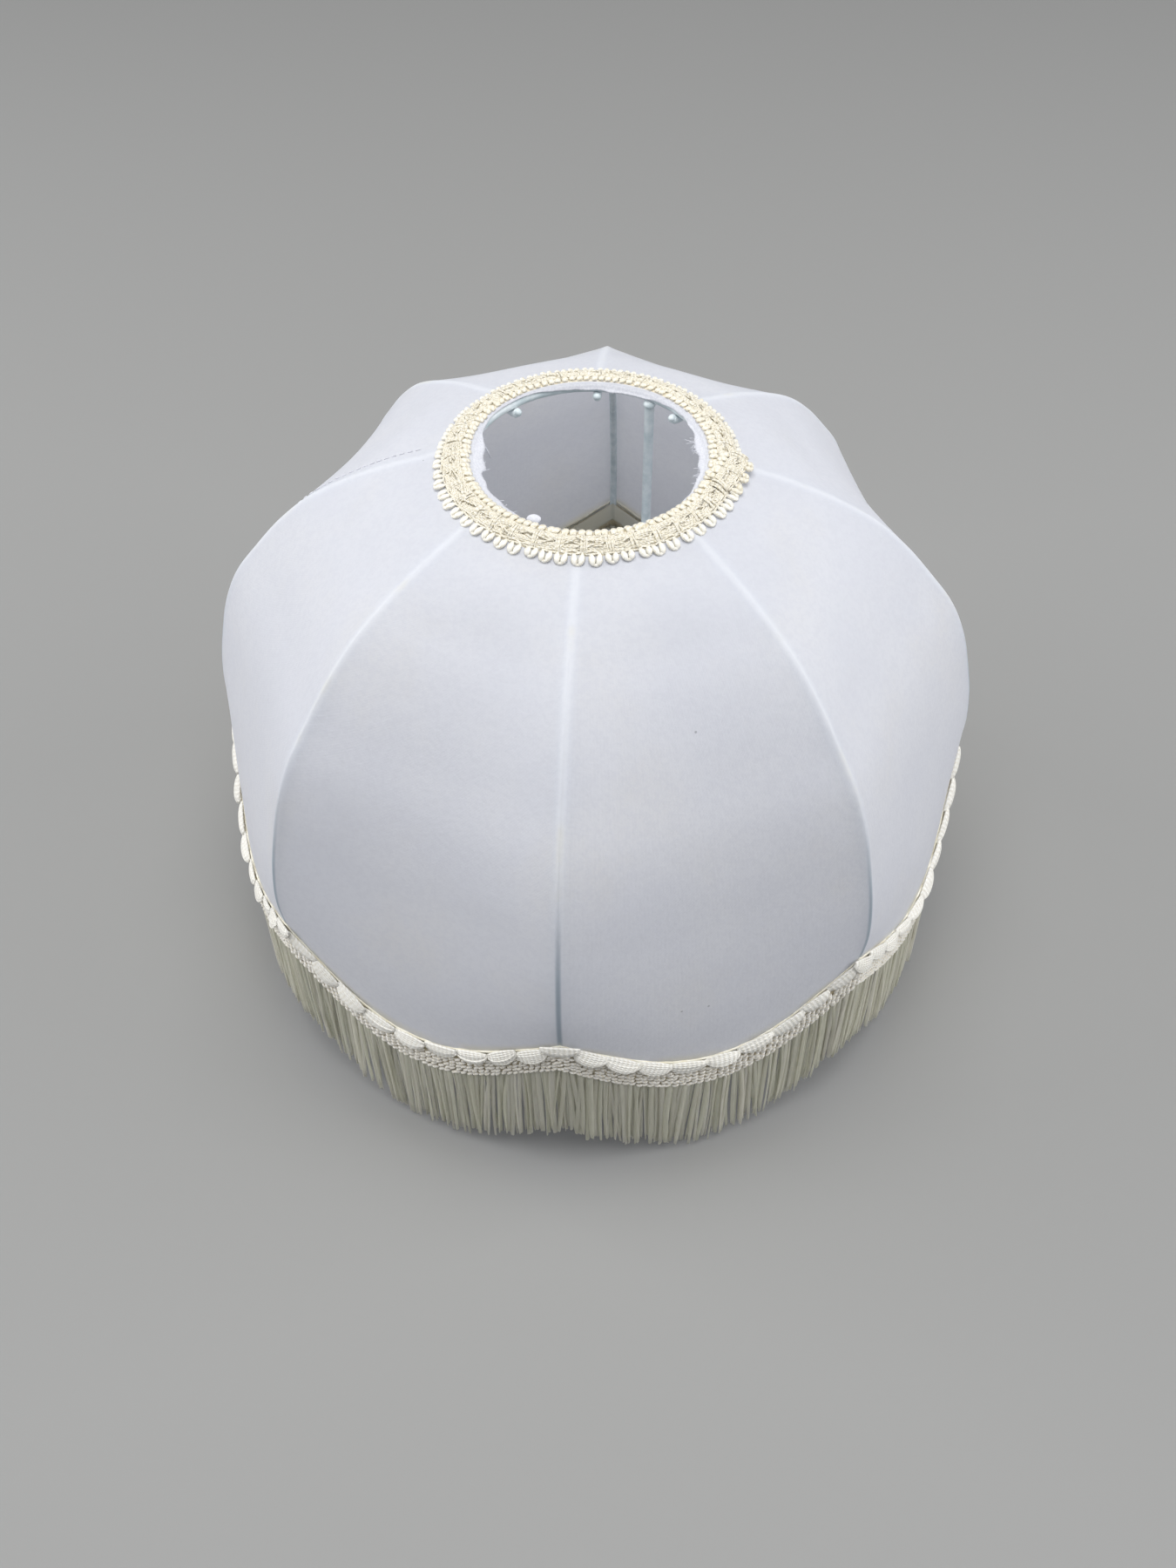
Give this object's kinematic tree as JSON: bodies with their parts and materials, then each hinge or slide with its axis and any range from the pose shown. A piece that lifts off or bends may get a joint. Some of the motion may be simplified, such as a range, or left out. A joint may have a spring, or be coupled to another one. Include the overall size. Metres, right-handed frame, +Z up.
{
  "type": "lamp shade",
  "caption": "Bell-shaped stretched-cloth lamp shade on a ribbed wire frame, with a round top mouth, a scalloped lower edge, braid trim and a hanging cut fringe.",
  "frame": {"origin": "centre of the fitter ring's hole, in the plane of its underside, where the lampholder's shoulder bears", "axes": "+Z up along the shade's axis towards the top mouth; -Y towards rib 1, with the ribs every 45 degrees"},
  "size_m": [0.2562, 0.2562, 0.1917],
  "materials": {
    "frame_paint": "semi-gloss white paint, bluish, with drops at the welds",
    "cover_cloth": "matt white stretch knit",
    "braid": "cream satin gimp",
    "heading": "cream chain-stitched heading",
    "fringe": "translucent cream cut strands"
  },
  "bodies": {
    "root": {"top_ring": "frame_paint", "rib_1": "frame_paint", "hem_wire_1": "frame_paint", "rib_2": "frame_paint", "hem_wire_2": "frame_paint", "rib_3": "frame_paint", "hem_wire_3": "frame_paint", "rib_4": "frame_paint", "hem_wire_4": "frame_paint", "rib_5": "frame_paint", "hem_wire_5": "frame_paint", "rib_6": "frame_paint", "hem_wire_6": "frame_paint", "rib_7": "frame_paint", "hem_wire_7": "frame_paint", "rib_8": "frame_paint", "hem_wire_8": "frame_paint", "fitter_strut_1": "frame_paint", "fitter_strut_2": "frame_paint", "fitter_strut_3": "frame_paint", "fitter_ring": "frame_paint", "cover_gore_1": "cover_cloth", "cover_gore_2": "cover_cloth", "cover_gore_3": "cover_cloth", "cover_gore_4": "cover_cloth", "cover_gore_5": "cover_cloth", "cover_gore_6": "cover_cloth", "cover_gore_7": "cover_cloth", "cover_gore_8": "cover_cloth", "top_braid": "braid", "fringe_heading": "heading", "bottom_braid": "braid", "fringe": "fringe"}
  },
  "joints": []
}
